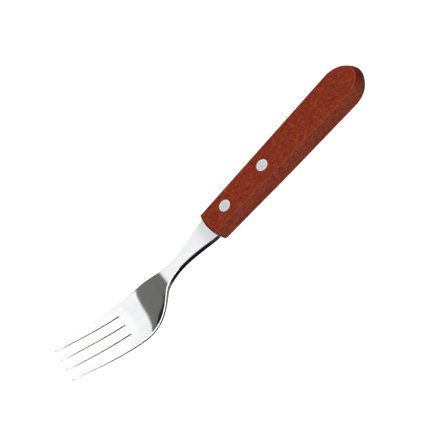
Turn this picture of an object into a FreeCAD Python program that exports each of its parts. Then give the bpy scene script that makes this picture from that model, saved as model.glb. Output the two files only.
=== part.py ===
import FreeCAD, Part
import os
import math

os.makedirs("parts", exist_ok=True)
V = FreeCAD.Vector

# ---------------------------------------------------------------------------
# Four-tine fork with a riveted one-piece wooden handle.
# It lies on its back: tines towards -Y and curving up, butt towards +Y, +Z up.
# The tables below are written in a working frame whose y = 0 is near the front
# end of the handle and whose z = 0 is the flat top face of the handle; Y_SHIFT
# and Z_SHIFT carry them to the part's own frame, whose origin is the middle of
# the footprint at the level of the handle's flat underside.
# ---------------------------------------------------------------------------

# Handle
HANDLE_FRONT_Y = -0.10        # corners of the front end of the wood
HANDLE_BOW = 0.85             # how far the front end swells between its corners
HANDLE_APEX_Y = 101.70        # butt end, at the top face
HANDLE_T = 10.95             # thickness of the wood
HANDLE_HALF_FRONT = 7.22      # half width of the top face at the front end
HANDLE_FLARE = 0.0212         # growth of the half width per mm of length
BUTT_CENTRE_Y = 90.5          # where the sides turn into the rounded butt
WALL_BULGE = 0.36             # how far the side walls swell at mid thickness
BUTT_BULGE = 2.40             # how far the butt swells at mid thickness
TOP_EDGE_R = 0.60             # softened edge round the top face
BOTTOM_EDGE_R = 1.00          # softened edge round the underside

# depth of the underside below the top face along the handle: slimmer at the
# front end, flat from the middle of the handle back
UNDER_DEPTH = [
    (-6.0, 9.96), (5.0, 10.04), (15.0, 10.22), (25.0, 10.46), (35.0, 10.70),
    (45.0, 10.88), (53.0, 10.94), (60.0, 10.95), (110.0, 10.95),
]

# Blank: tang
TANG_HALF_W = 4.60
TANG_END_Y = 47.6
TANG_T = 3.20
TANG_TOP_Z = -2.92
FIT_GAP = 0.06                # room between the tang and its mortise
SHOULDER_GAP = 0.08           # room between the shoulders and the wood

# Rivets (two compression rivets, each a pin half driven into a tube half)
RIVET_Y = (12.42, 39.08)
RIVET_HEAD_D = 6.35
RIVET_HEAD_T = 1.50
TUBE_D = 4.40
TUBE_BORE_D = 2.84
PIN_D = 2.80
SEAT_GAP = 0.03               # room between rivet and wood

# Half width of the head, neck and shoulders at stations along the blank
HALF_WIDTH = [
    (-0.20, 7.00), (-2.0, 6.86), (-3.6, 6.62), (-5.6, 6.18), (-8.8, 5.45),
    (-12.5, 4.68), (-16.2, 4.04), (-19.5, 3.56), (-22.9, 3.26), (-26.0, 3.24),
    (-29.2, 3.52), (-32.0, 4.08), (-34.7, 4.90), (-37.2, 6.08), (-39.8, 7.64),
    (-42.5, 9.33), (-45.7, 11.08), (-49.0, 12.38), (-52.5, 13.33),
    (-56.5, 13.93), (-60.8, 14.20), (-64.5, 14.21), (-68.3, 14.10),
    (-72.4, 13.92), (-76.4, 13.66), (-82.7, 13.14), (-88.5, 12.54),
    (-93.5, 11.92), (-98.15, 11.38),
]

# Height of the rim of the blank (upper surface at the outline)
RIM_Z = [
    (-102.0, 9.80), (-99.3, 8.55), (-93.2, 5.65), (-88.5, 3.15),
    (-82.7, 0.15), (-76.4, -2.75), (-72.4, -4.46), (-68.3, -6.10),
    (-64.5, -7.42), (-61.0, -8.42), (-57.5, -9.00), (-54.6, -8.92),
    (-52.0, -8.62), (-49.0, -7.96), (-45.7, -6.97), (-42.5, -5.83),
    (-39.8, -4.73), (-38.4, -4.15), (-37.0, -3.76), (-36.0, -3.61),
    (-34.7, -3.51), (-32.0, -3.40), (-29.2, -3.33), (-22.9, -3.16),
    (-16.2, -3.06), (-8.8, -2.98), (-2.9, -2.93), (0.0, -2.92),
    (10.0, -2.92), (30.0, -2.92), (50.0, -2.92),
]

# Depth of the trough below the rim, which grows towards the outline
DISH = [
    (-102.0, 0.0), (-78.0, 0.0), (-70.0, 0.14), (-67.0, 0.32), (-64.0, 0.58),
    (-60.5, 0.94), (-57.0, 1.08), (-53.0, 1.00), (-49.0, 0.86), (-45.7, 0.72),
    (-42.0, 0.46), (-38.5, 0.16), (-36.0, 0.04), (-34.0, 0.0), (-29.0, 0.0),
    (50.0, 0.0),
]

# Depth of the same trough on the underside. Where the bowl rests, the underside
# is a hair hollow instead, so that the fork stands on the two sides of its bowl
# and does not rock.
UNDER_DISH = [
    (-102.0, 0.0), (-68.0, 0.0), (-62.0, -0.08), (-51.5, -0.08), (-46.0, 0.24),
    (-42.0, 0.30), (-38.0, 0.18), (-34.0, 0.05), (-30.0, 0.0), (50.0, 0.0),
]

# Thickness of the blank at its edges, rolled thin towards the tips
THICK = [
    (-102.0, 1.10), (-90.0, 1.22), (-80.0, 1.36), (-70.0, 1.56),
    (-60.0, 1.84), (-52.0, 2.10), (-45.0, 2.45), (-38.0, 2.75),
    (-30.0, 2.95), (-22.9, 3.10), (-16.0, 3.20), (-10.0, 3.24),
    (-4.0, 3.20), (0.0, 3.20), (50.0, 3.20),
]

# Tines: edges of the two inner tines and the inner edge of the outer tines
SLOT_ROOT_Y = -67.55
SLOT_ROOT_R = 1.15
SLOT_X = 6.75                 # middle of each outer slot at its root
TINE_END_Y = -98.15           # where the rounded tips begin
TIP_Y = -99.30
OUTER_INNER_EDGE = [(-67.55, 7.90), (-71.5, 7.95), (-75.0, 8.06), (-81.0, 8.30),
                    (-87.0, 8.60), (-94.0, 8.90), (-98.15, 9.10)]
INNER_OUTER_EDGE = [(-67.55, 5.60), (-71.5, 5.56), (-75.0, 5.50), (-81.0, 5.30),
                    (-87.0, 5.08), (-94.0, 4.84), (-98.15, 4.62)]
INNER_INNER_EDGE = [(-67.55, 1.15), (-71.5, 1.24), (-75.0, 1.38), (-81.0, 1.64),
                    (-87.0, 1.84), (-94.0, 2.02), (-98.15, 2.20)]

# Carries the working frame to the part's own frame
Y_SHIFT = -(HANDLE_APEX_Y + BUTT_BULGE + TIP_Y) / 2.0
Z_SHIFT = HANDLE_T + 0.012    # the bowl reaches this much lower than the handle


def table(points):
    """A smooth interpolation of a table (monotone cubic), as a function."""
    pts = sorted(points)
    xs = [p[0] for p in pts]
    ys = [p[1] for p in pts]
    n = len(xs)
    h = [xs[i + 1] - xs[i] for i in range(n - 1)]
    s = [(ys[i + 1] - ys[i]) / h[i] for i in range(n - 1)]
    m = [s[0]] + [0.0] * (n - 2) + [s[-1]]
    for i in range(1, n - 1):
        if s[i - 1] * s[i] > 0:
            w1, w2 = 2 * h[i] + h[i - 1], h[i] + 2 * h[i - 1]
            m[i] = (w1 + w2) / (w1 / s[i - 1] + w2 / s[i])

    def f(x):
        x = min(max(x, xs[0]), xs[-1])
        i = 0
        while i < n - 2 and x > xs[i + 1]:
            i += 1
        t = (x - xs[i]) / h[i]
        return (
            ys[i] * (1 + 2 * t) * (1 - t) ** 2
            + h[i] * m[i] * t * (1 - t) ** 2
            + ys[i + 1] * t * t * (3 - 2 * t)
            + h[i] * m[i + 1] * t * t * (t - 1)
        )

    return f


half_width = table(HALF_WIDTH)
rim_z = table(RIM_Z)
dish = table(DISH)
under_dish = table(UNDER_DISH)
under_depth = table(UNDER_DEPTH)
thick = table(THICK)


def trough(x, y):
    """1 along the middle of the blank, falling to 0 at its edges."""
    w = max(half_width(y), 4.5) if y > -35 else half_width(y)
    u = min(abs(x) / w, 1.12)
    return 1.0 - u ** 2.6


def top_z(x, y):
    return rim_z(y) - dish(y) * trough(x, y)


def bottom_z(x, y):
    return rim_z(y) - thick(y) - under_dish(y) * trough(x, y)


def spline(points):
    c = Part.BSplineCurve()
    c.interpolate([V(x, y, 0) for x, y in points])
    return c.toShape()


def arc(a, b, c):
    return Part.Arc(V(*a, 0), V(*b, 0), V(*c, 0)).toShape()


def line(a, b):
    return Part.LineSegment(V(*a, 0), V(*b, 0)).toShape()


# --- fork blank ------------------------------------------------------------
def blank_outline():
    """The outline of the blank seen from above, walked once round."""
    s0 = HALF_WIDTH[0]
    right = [(w, y) for y, w in HALF_WIDTH]

    def front(x):
        """The wood's bowed front end, less the shoulder gap."""
        return HANDLE_FRONT_Y - HANDLE_BOW * (1 - (x / HANDLE_HALF_FRONT) ** 2) - SHOULDER_GAP

    right[0] = (s0[1], front(s0[1]))
    mid = (s0[1] + TANG_HALF_W) / 2
    ty = front(TANG_HALF_W)
    e = []
    # right side, from the shoulder to the tip of the outer tine
    e.append(spline(right))
    oe, ie = HALF_WIDTH[-1][1], OUTER_INNER_EDGE[-1][1]
    e.append(arc((oe, TINE_END_Y), ((oe + ie) / 2, TIP_Y), (ie, TINE_END_Y)))
    e.append(spline([(x, y) for y, x in reversed(OUTER_INNER_EDGE)]))
    e.append(arc((SLOT_X + SLOT_ROOT_R, SLOT_ROOT_Y), (SLOT_X, SLOT_ROOT_Y + SLOT_ROOT_R),
                 (SLOT_X - SLOT_ROOT_R, SLOT_ROOT_Y)))
    e.append(spline([(x, y) for y, x in INNER_OUTER_EDGE]))
    a, b = INNER_OUTER_EDGE[-1][1], INNER_INNER_EDGE[-1][1]
    e.append(arc((a, TINE_END_Y), ((a + b) / 2, TIP_Y), (b, TINE_END_Y)))
    e.append(spline([(x, y) for y, x in reversed(INNER_INNER_EDGE)]))
    e.append(arc((SLOT_ROOT_R, SLOT_ROOT_Y), (0, SLOT_ROOT_Y + SLOT_ROOT_R),
                 (-SLOT_ROOT_R, SLOT_ROOT_Y)))
    e.append(spline([(-x, y) for y, x in INNER_INNER_EDGE]))
    e.append(arc((-b, TINE_END_Y), (-(a + b) / 2, TIP_Y), (-a, TINE_END_Y)))
    e.append(spline([(-x, y) for y, x in reversed(INNER_OUTER_EDGE)]))
    e.append(arc((-SLOT_X + SLOT_ROOT_R, SLOT_ROOT_Y), (-SLOT_X, SLOT_ROOT_Y + SLOT_ROOT_R),
                 (-SLOT_X - SLOT_ROOT_R, SLOT_ROOT_Y)))
    e.append(spline([(-x, y) for y, x in OUTER_INNER_EDGE]))
    e.append(arc((-ie, TINE_END_Y), (-(oe + ie) / 2, TIP_Y), (-oe, TINE_END_Y)))
    e.append(spline([(-x, y) for x, y in reversed(right)]))
    # shoulders and tang
    e.append(arc((-s0[1], front(s0[1])), (-mid, front(mid)), (-TANG_HALF_W, ty)))
    e.append(line((-TANG_HALF_W, ty), (-TANG_HALF_W, TANG_END_Y - TANG_HALF_W)))
    e.append(arc((-TANG_HALF_W, TANG_END_Y - TANG_HALF_W), (0, TANG_END_Y),
                 (TANG_HALF_W, TANG_END_Y - TANG_HALF_W)))
    e.append(line((TANG_HALF_W, TANG_END_Y - TANG_HALF_W), (TANG_HALF_W, ty)))
    e.append(arc((TANG_HALF_W, ty), (mid, front(mid)), (s0[1], front(s0[1]))))
    return Part.Wire(e)


def skin(zf, xs, ys):
    s = Part.BSplineSurface()
    s.interpolate([[V(x, y, zf(x, y)) for y in ys] for x in xs])
    return s


def blank():
    xs = [-15.2 + 30.4 * i / 16 for i in range(17)]
    ys = [-101.5 + 2.35 * i for i in range(65)]
    top = skin(top_z, xs, ys)
    bot = skin(bottom_z, xs, ys)
    ft, fb = top.toShape(), bot.toShape()
    u0, u1, v0, v1 = top.bounds()
    walls = []
    for iso in ("u0", "u1", "v0", "v1"):
        if iso[0] == "u":
            p = u0 if iso == "u0" else u1
            c1, c2 = top.uIso(p), bot.uIso(p)
        else:
            p = v0 if iso == "v0" else v1
            c1, c2 = top.vIso(p), bot.vIso(p)
        walls.append(Part.makeRuledSurface(c1.toShape(), c2.toShape()))
    shell = Part.makeShell([ft, fb] + walls)
    shell.sewShape()
    slab = Part.Solid(shell)
    if slab.Volume < 0:
        slab.reverse()
    prism = Part.Face(blank_outline())
    prism.translate(V(0, 0, -20))
    prism = prism.extrude(V(0, 0, 40))
    body = slab.common(prism)
    for y in RIVET_Y:
        body = body.cut(Part.makeCylinder(TUBE_D / 2 + 0.1, 20, V(0, y, -14)))
    body = body.Solids[0] if len(body.Solids) == 1 else max(body.Solids, key=lambda s: s.Volume)
    return body


# --- handle ----------------------------------------------------------------
def handle_wire(z, side, end):
    """Outline of the handle at one height: a straight front end, sides that
    spread a little towards the butt, and a half-elliptical butt."""
    def hw(y):
        return HANDLE_HALF_FRONT + HANDLE_FLARE * (y - HANDLE_FRONT_Y) + side

    pts = [(hw(y), y) for y in (HANDLE_FRONT_Y, 12.0, 28.0, 45.0, 62.0, 76.0, 85.0)]
    a, b = hw(BUTT_CENTRE_Y), HANDLE_APEX_Y - BUTT_CENTRE_Y + end
    for k in range(0, 13):
        t = math.pi * k / 12
        pts.append((a * math.cos(t), BUTT_CENTRE_Y + b * math.sin(t)))
    pts += [(-x, y) for x, y in reversed(pts[:7])]
    c = Part.BSplineCurve()
    c.interpolate([V(x, y, z) for x, y in pts])
    e1 = c.toShape()
    f = Part.BSplineCurve()
    row = [HANDLE_HALF_FRONT + side] + [HANDLE_HALF_FRONT * k / 4 for k in range(3, -4, -1)] + [-HANDLE_HALF_FRONT - side]
    f.interpolate([V(-x, HANDLE_FRONT_Y - HANDLE_BOW * (1 - (min(abs(x), HANDLE_HALF_FRONT) / HANDLE_HALF_FRONT) ** 2), z)
                   for x in row])
    e2 = f.toShape()
    return Part.Wire([e1, e2])


def handle():
    T = HANDLE_T
    sec = [(0.0, 0.0, 0.0), (-T * 0.30, 0.88, 0.81), (-T * 0.5, 1.0, 1.0),
           (-T * 0.72, 0.85, 0.77), (-T, 0.0, 0.0)]
    wires = [handle_wire(z, WALL_BULGE * s, BUTT_BULGE * e) for z, s, e in sec]
    h = Part.makeLoft(wires, True, False)
    # slim the underside towards the front end
    ys = [-8.0 + 4.0 * i for i in range(18)]
    c = Part.BSplineCurve()
    c.interpolate([V(-20, y, -under_depth(y)) for y in ys], InitialTangent=V(0, 1, -0.007),
                  FinalTangent=V(0, 1, 0))
    a, b = V(-20, ys[0], -under_depth(ys[0])), V(-20, ys[-1], -T)
    face = Part.Face(Part.Wire([
        c.toShape(), Part.LineSegment(b, V(-20, ys[-1], -T - 5)).toShape(),
        Part.LineSegment(V(-20, ys[-1], -T - 5), V(-20, ys[0], -T - 5)).toShape(),
        Part.LineSegment(V(-20, ys[0], -T - 5), a).toShape()]))
    h = h.cut(face.extrude(V(40, 0, 0)))

    def rim(shape, z):
        out = []
        for ed in shape.Edges:
            b = ed.BoundBox
            if z == 0.0:
                if abs(b.ZMin) < 1e-3 and abs(b.ZMax) < 1e-3:
                    out.append(ed)
                continue
            low = True
            for k in range(5):
                p = ed.valueAt(ed.FirstParameter + (ed.LastParameter - ed.FirstParameter) * k / 4.0)
                if abs(p.z + under_depth(p.y)) > 0.02:
                    low = False
            seam = abs(b.YMax - b.YMin) < 0.1 and b.YMax > 5
            if low and not seam:
                out.append(ed)
        return out

    for z, r in ((-T, BOTTOM_EDGE_R), (0.0, TOP_EDGE_R)):
        try:
            f = h.makeFillet(r, rim(h, z))
            if f.isValid() and f.Volume > 0.9 * h.Volume:
                h = f
            else:
                print("fillet not valid at z", z)
        except Exception as ex:
            print("fillet failed at z", z, ex)
    # mortise for the tang, open at the front end only
    g = FIT_GAP
    hw = TANG_HALF_W + g
    face = Part.Face(Part.Wire([
        line((-hw, HANDLE_FRONT_Y - 3), (hw, HANDLE_FRONT_Y - 3)),
        line((hw, HANDLE_FRONT_Y - 3), (hw, TANG_END_Y - TANG_HALF_W)),
        arc((hw, TANG_END_Y - TANG_HALF_W), (0, TANG_END_Y + 0.6), (-hw, TANG_END_Y - TANG_HALF_W)),
        line((-hw, TANG_END_Y - TANG_HALF_W), (-hw, HANDLE_FRONT_Y - 3)),
    ]))
    face.translate(V(0, 0, TANG_TOP_Z - TANG_T - g))
    h = h.cut(face.extrude(V(0, 0, TANG_T + 2 * g)))
    for y in RIVET_Y:
        h = h.cut(Part.makeCylinder(TUBE_D / 2 + SEAT_GAP, 20, V(0, y, -15)))
        h = h.cut(Part.makeCylinder(RIVET_HEAD_D / 2 + SEAT_GAP, 5, V(0, y, -RIVET_HEAD_T - SEAT_GAP)))
        h = h.cut(Part.makeCylinder(RIVET_HEAD_D / 2 + SEAT_GAP, 5, V(0, y, -under_depth(y) - 4.96 + RIVET_HEAD_T + SEAT_GAP)))
    return h.Solids[0]


# --- rivets ----------------------------------------------------------------
def rivet_pin(y):
    """Upper half: a flat head flush with the top face on a solid shank."""
    head = Part.makeCylinder(RIVET_HEAD_D / 2, RIVET_HEAD_T, V(0, y, -RIVET_HEAD_T))
    rim = [e for e in head.Edges if abs(e.BoundBox.ZMin) < 1e-6 and abs(e.BoundBox.ZMax) < 1e-6]
    head = head.makeFillet(0.12, rim)
    length = under_depth(y) - 2 * RIVET_HEAD_T - 0.5
    shank = Part.makeCylinder(PIN_D / 2, length, V(0, y, -RIVET_HEAD_T - length))
    return head.fuse(shank).removeSplitter().Solids[0]


def rivet_tube(y):
    """Lower half: a flat head flush with the underside on a tubular shank."""
    z0 = -under_depth(y) + 0.04
    head = Part.makeCylinder(RIVET_HEAD_D / 2, RIVET_HEAD_T, V(0, y, z0))
    rim = [e for e in head.Edges if abs(e.BoundBox.ZMin - z0) < 1e-6 and abs(e.BoundBox.ZMax - z0) < 1e-6]
    head = head.makeFillet(0.12, rim)
    length = under_depth(y) - 2 * RIVET_HEAD_T - 0.10
    tube = Part.makeCylinder(TUBE_D / 2, length, V(0, y, z0 + RIVET_HEAD_T))
    tube = tube.cut(Part.makeCylinder(TUBE_BORE_D / 2, length + 1, V(0, y, z0 + RIVET_HEAD_T + 0.3)))
    return head.fuse(tube).removeSplitter().Solids[0]


pieces = {
    "fork_blank": blank(),
    "handle": handle(),
    "front_rivet_pin": rivet_pin(RIVET_Y[0]),
    "front_rivet_tube": rivet_tube(RIVET_Y[0]),
    "rear_rivet_pin": rivet_pin(RIVET_Y[1]),
    "rear_rivet_tube": rivet_tube(RIVET_Y[1]),
}
box = None
for name, shape in pieces.items():
    shape = shape.copy()
    shape.translate(V(0, Y_SHIFT, Z_SHIFT))
    pieces[name] = shape
    b = shape.BoundBox
    box = FreeCAD.BoundBox(b) if box is None else box.united(b)
    print(name, "valid", shape.isValid(), "solids", len(shape.Solids), "faces", len(shape.Faces),
          "vol", round(shape.Volume, 1),
          "box", [round(x, 2) for x in (b.XMin, b.XMax, b.YMin, b.YMax, b.ZMin, b.ZMax)])
    shape.exportStep("parts/%s.step" % name)
print("whole", [round(x, 3) for x in (box.XMin, box.XMax, box.YMin, box.YMax, box.ZMin, box.ZMax)])
names = list(pieces)
for i in range(len(names)):
    for j in range(i + 1, len(names)):
        c = pieces[names[i]].common(pieces[names[j]])
        if c.Volume > 1e-4:
            print("overlap", names[i], names[j], round(c.Volume, 4))
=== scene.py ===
import bpy
import bmesh
import math
from mathutils import Matrix, Vector


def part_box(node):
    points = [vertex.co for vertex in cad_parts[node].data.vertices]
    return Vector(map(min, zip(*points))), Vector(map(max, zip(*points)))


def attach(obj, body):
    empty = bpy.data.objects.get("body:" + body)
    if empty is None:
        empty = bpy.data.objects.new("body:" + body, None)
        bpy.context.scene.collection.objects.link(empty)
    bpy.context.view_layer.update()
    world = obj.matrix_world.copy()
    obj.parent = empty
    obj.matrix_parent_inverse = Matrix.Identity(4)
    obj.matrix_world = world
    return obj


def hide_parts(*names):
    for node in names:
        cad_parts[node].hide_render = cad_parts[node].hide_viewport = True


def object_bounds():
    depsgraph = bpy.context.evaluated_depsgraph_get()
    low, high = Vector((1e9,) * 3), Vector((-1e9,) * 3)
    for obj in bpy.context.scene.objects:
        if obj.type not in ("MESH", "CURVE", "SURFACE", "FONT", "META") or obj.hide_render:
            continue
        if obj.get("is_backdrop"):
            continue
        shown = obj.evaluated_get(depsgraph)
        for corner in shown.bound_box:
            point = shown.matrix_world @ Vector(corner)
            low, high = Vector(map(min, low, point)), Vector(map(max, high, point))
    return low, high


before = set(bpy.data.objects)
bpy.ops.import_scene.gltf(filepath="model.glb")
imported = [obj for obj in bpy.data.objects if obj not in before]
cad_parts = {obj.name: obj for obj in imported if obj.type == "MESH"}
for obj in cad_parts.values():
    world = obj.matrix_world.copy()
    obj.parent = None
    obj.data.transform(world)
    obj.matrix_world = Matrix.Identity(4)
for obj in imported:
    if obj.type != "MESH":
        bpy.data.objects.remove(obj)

CAD_LO, CAD_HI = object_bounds()
CAD_BOX = ([round(v, 7) for v in CAD_LO], [round(v, 7) for v in CAD_HI])

# ---------------------------------------------------------------------------
# The same design tables as the CAD model, in its working frame (millimetres,
# y = 0 at the front end of the handle, z = 0 at the handle's top face).
# ---------------------------------------------------------------------------
HANDLE_FRONT_Y = -0.10
HANDLE_BOW = 0.85
HANDLE_APEX_Y = 101.70
HANDLE_T = 10.95
HANDLE_HALF_FRONT = 7.22
HANDLE_FLARE = 0.0212
BUTT_CENTRE_Y = 90.5
WALL_BULGE = 0.35
BUTT_BULGE = 2.38
TANG_END_Y = 47.6
TANG_T = 3.20
TANG_TOP_Z = -2.92
TANG_HALF_W = 4.60
RIVET_Y = (12.42, 39.08)
RIVET_HEAD_D = 6.35
RIVET_HEAD_T = 1.50
TUBE_D = 4.40
TUBE_BORE_D = 2.84
PIN_D = 2.80

HALF_WIDTH = [
    (-0.20, 7.00), (-2.0, 6.86), (-3.6, 6.62), (-5.6, 6.18), (-8.8, 5.45),
    (-12.5, 4.68), (-16.2, 4.04), (-19.5, 3.56), (-22.9, 3.26), (-26.0, 3.24),
    (-29.2, 3.52), (-32.0, 4.08), (-34.7, 4.90), (-37.2, 6.08), (-39.8, 7.64),
    (-42.5, 9.33), (-45.7, 11.08), (-49.0, 12.38), (-52.5, 13.33),
    (-56.5, 13.93), (-60.8, 14.20), (-64.5, 14.21), (-68.3, 14.10),
    (-72.4, 13.92), (-76.4, 13.66), (-82.7, 13.14), (-88.5, 12.54),
    (-93.5, 11.92), (-98.15, 11.38),
]
RIM_Z = [
    (-102.0, 9.80), (-99.3, 8.55), (-93.2, 5.65), (-88.5, 3.15),
    (-82.7, 0.15), (-76.4, -2.75), (-72.4, -4.46), (-68.3, -6.10),
    (-64.5, -7.42), (-61.0, -8.42), (-57.5, -9.00), (-54.6, -8.92),
    (-52.0, -8.62), (-49.0, -7.96), (-45.7, -6.97), (-42.5, -5.83),
    (-39.8, -4.73), (-38.4, -4.15), (-37.0, -3.76), (-36.0, -3.61),
    (-34.7, -3.51), (-32.0, -3.40), (-29.2, -3.33), (-22.9, -3.16),
    (-16.2, -3.06), (-8.8, -2.98), (-2.9, -2.93), (0.0, -2.92),
    (10.0, -2.92), (30.0, -2.92), (50.0, -2.92),
]
DISH = [
    (-102.0, 0.0), (-78.0, 0.0), (-70.0, 0.14), (-67.0, 0.32), (-64.0, 0.58),
    (-60.5, 0.94), (-57.0, 1.08), (-53.0, 1.00), (-49.0, 0.86), (-45.7, 0.72),
    (-42.0, 0.46), (-38.5, 0.16), (-36.0, 0.04), (-34.0, 0.0), (-29.0, 0.0),
    (50.0, 0.0),
]
UNDER_DISH = [
    (-102.0, 0.0), (-68.0, 0.0), (-62.0, -0.08), (-51.5, -0.08), (-46.0, 0.24),
    (-42.0, 0.30), (-38.0, 0.18), (-34.0, 0.05), (-30.0, 0.0), (50.0, 0.0),
]
# the edge of the bowl is turned up a little more in its last millimetres
LIP = [
    (-102.0, 0.0), (-68.0, 0.0), (-64.0, 0.06), (-60.0, 0.20), (-56.0, 0.34),
    (-50.0, 0.36), (-44.0, 0.32), (-40.5, 0.18), (-38.0, 0.06), (-36.0, 0.0), (50.0, 0.0),
]
THICK = [
    (-102.0, 1.10), (-90.0, 1.22), (-80.0, 1.36), (-70.0, 1.56),
    (-60.0, 1.84), (-52.0, 2.10), (-45.0, 2.45), (-38.0, 2.75),
    (-30.0, 2.95), (-22.9, 3.10), (-16.0, 3.20), (-10.0, 3.24),
    (-4.0, 3.20), (0.0, 3.20), (50.0, 3.20),
]
# how far the edges are rounded, outer edges and between the tines
EDGE_R = [
    (-102.0, 0.52), (-97.5, 0.52), (-94.0, 0.36), (-90.0, 0.28), (-75.0, 0.26), (-68.0, 0.34), (-60.0, 0.56),
    (-52.0, 0.80), (-44.0, 0.80), (-37.0, 0.64), (-32.0, 0.46), (-28.0, 0.40), (-20.0, 0.38), (-10.0, 0.38),
    (-4.0, 0.38), (0.0, 0.36), (50.0, 0.30),
]
SLOT_ROOT_Y = -67.55
SLOT_ROOT_R = 1.15
SLOT_X = 6.75
TINE_END_Y = -98.15
TIP_Y = -99.30
INNER_R = 0.22
OUTER_INNER_EDGE = [(-67.55, 7.90), (-71.5, 7.95), (-75.0, 8.06), (-81.0, 8.30),
                    (-87.0, 8.60), (-94.0, 8.90), (-98.15, 9.10)]
INNER_OUTER_EDGE = [(-67.55, 5.60), (-71.5, 5.56), (-75.0, 5.50), (-81.0, 5.30),
                    (-87.0, 5.08), (-94.0, 4.84), (-98.15, 4.62)]
INNER_INNER_EDGE = [(-67.55, 1.15), (-71.5, 1.24), (-75.0, 1.38), (-81.0, 1.64),
                    (-87.0, 1.84), (-94.0, 2.02), (-98.15, 2.20)]

# depth of the underside below the top face along the handle: slimmer at the
# front end, flat from the middle of the handle back
UNDER_DEPTH = [
    (-6.0, 9.96), (5.0, 10.04), (15.0, 10.22), (25.0, 10.46), (35.0, 10.70),
    (45.0, 10.88), (53.0, 10.94), (60.0, 10.95), (110.0, 10.95),
]

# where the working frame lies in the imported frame, taken from the CAD boxes
BLANK_LO, BLANK_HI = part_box("fork_blank")
WOOD_LO, WOOD_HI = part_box("handle")
Y_SHIFT = BLANK_LO.y * 1000.0 - TIP_Y
Z_SHIFT = WOOD_HI.z * 1000.0


def P(x, y, z):
    """A point of the working frame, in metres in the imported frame."""
    return Vector((x, y + Y_SHIFT, z + Z_SHIFT)) * 0.001


def table(points, smooth=0.0):
    """A monotone cubic through a table, optionally smoothed so that its
    curvature has no steps, as a function of y."""
    pts = sorted(points)
    xs = [p[0] for p in pts]
    ys = [p[1] for p in pts]
    n = len(xs)
    h = [xs[i + 1] - xs[i] for i in range(n - 1)]
    s = [(ys[i + 1] - ys[i]) / h[i] for i in range(n - 1)]
    m = [s[0]] + [0.0] * (n - 2) + [s[-1]]
    for i in range(1, n - 1):
        if s[i - 1] * s[i] > 0:
            w1, w2 = 2 * h[i] + h[i - 1], h[i] + 2 * h[i - 1]
            m[i] = (w1 + w2) / (w1 / s[i - 1] + w2 / s[i])

    def f(x):
        if x < xs[0]:
            return ys[0] + s[0] * (x - xs[0])
        if x > xs[-1]:
            return ys[-1] + s[-1] * (x - xs[-1])
        i = 0
        while i < n - 2 and x > xs[i + 1]:
            i += 1
        t = (x - xs[i]) / h[i]
        return (ys[i] * (1 + 2 * t) * (1 - t) ** 2 + h[i] * m[i] * t * (1 - t) ** 2
                + ys[i + 1] * t * t * (3 - 2 * t) + h[i] * m[i + 1] * t * t * (t - 1))

    if not smooth:
        return f
    step = 0.25
    x0 = xs[0] - 4.0
    count = int((xs[-1] + 4.0 - x0) / step) + 1
    reach = int(3 * smooth / step)
    kern = [math.exp(-0.5 * (k * step / smooth) ** 2) for k in range(-reach, reach + 1)]
    total = sum(kern)
    raw = [f(x0 + (k - reach) * step) for k in range(count + 2 * reach)]
    out = [sum(raw[i + k] * kern[k] for k in range(2 * reach + 1)) / total for i in range(count)]

    def g(x):
        u = (x - x0) / step
        i = max(1, min(count - 3, int(math.floor(u))))
        t = u - i
        a, b, c, d = out[i - 1], out[i], out[i + 1], out[i + 2]
        return b + 0.5 * t * (c - a + t * (2 * a - 5 * b + 4 * c - d + t * (3 * (b - c) + d - a)))

    return g


half_width = table(HALF_WIDTH, 0.9)
rim_z = table(RIM_Z, 0.9)
dish = table(DISH, 1.6)
under_dish = table(UNDER_DISH, 1.4)
lip = table(LIP, 1.6)
thick = table(THICK, 2.0)
edge_r = table(EDGE_R, 1.2)
outer_inner = table(OUTER_INNER_EDGE, 1.0)
inner_outer = table(INNER_OUTER_EDGE, 1.0)
inner_inner = table(INNER_INNER_EDGE, 1.0)
under_depth = table(UNDER_DEPTH, 2.0)


def across(x, y):
    w = max(half_width(y), 4.5) if y > -35 else half_width(y)
    return min(abs(x) / w, 1.03)


def top_z(x, y):
    u = across(x, y)
    return rim_z(y) - dish(y) * (1.0 - u ** 2.6) * 0.80 - lip(y) * (1.0 - u ** 13)


def bottom_z(x, y):
    u = across(x, y)
    return rim_z(y) - thick(y) - under_dish(y) * (1.0 - u ** 2.6)


def slope(f, y):
    return (f(y + 0.2) - f(y - 0.2)) / 0.4


def smooth_all(me):
    for p in me.polygons:
        p.use_smooth = True


def finish_piece(ob, node, weighted=True):
    bpy.context.scene.collection.objects.link(ob)
    smooth_all(ob.data)
    if weighted:
        m = ob.modifiers.new("even_shading", "WEIGHTED_NORMAL")
        m.mode = "FACE_AREA"
        m.weight = 60
        m.keep_sharp = True
    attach(ob, "root")
    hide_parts(node)
    return ob


def cut(ob, cutters):
    """Boolean difference, applied to the mesh."""
    bpy.context.scene.collection.objects.link(ob)
    for c in cutters:
        bpy.context.scene.collection.objects.link(c)
        m = ob.modifiers.new("cut", "BOOLEAN")
        m.operation = "DIFFERENCE"
        m.solver = "EXACT"
        m.object = c
    bpy.context.view_layer.update()
    dg = bpy.context.evaluated_depsgraph_get()
    me = bpy.data.meshes.new_from_object(ob.evaluated_get(dg), depsgraph=dg)
    ob.modifiers.clear()
    old = ob.data
    ob.data = me
    bpy.data.meshes.remove(old)
    for c in cutters:
        d = c.data
        bpy.data.objects.remove(c)
        bpy.data.meshes.remove(d)
    bpy.context.scene.collection.objects.unlink(ob)


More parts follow.
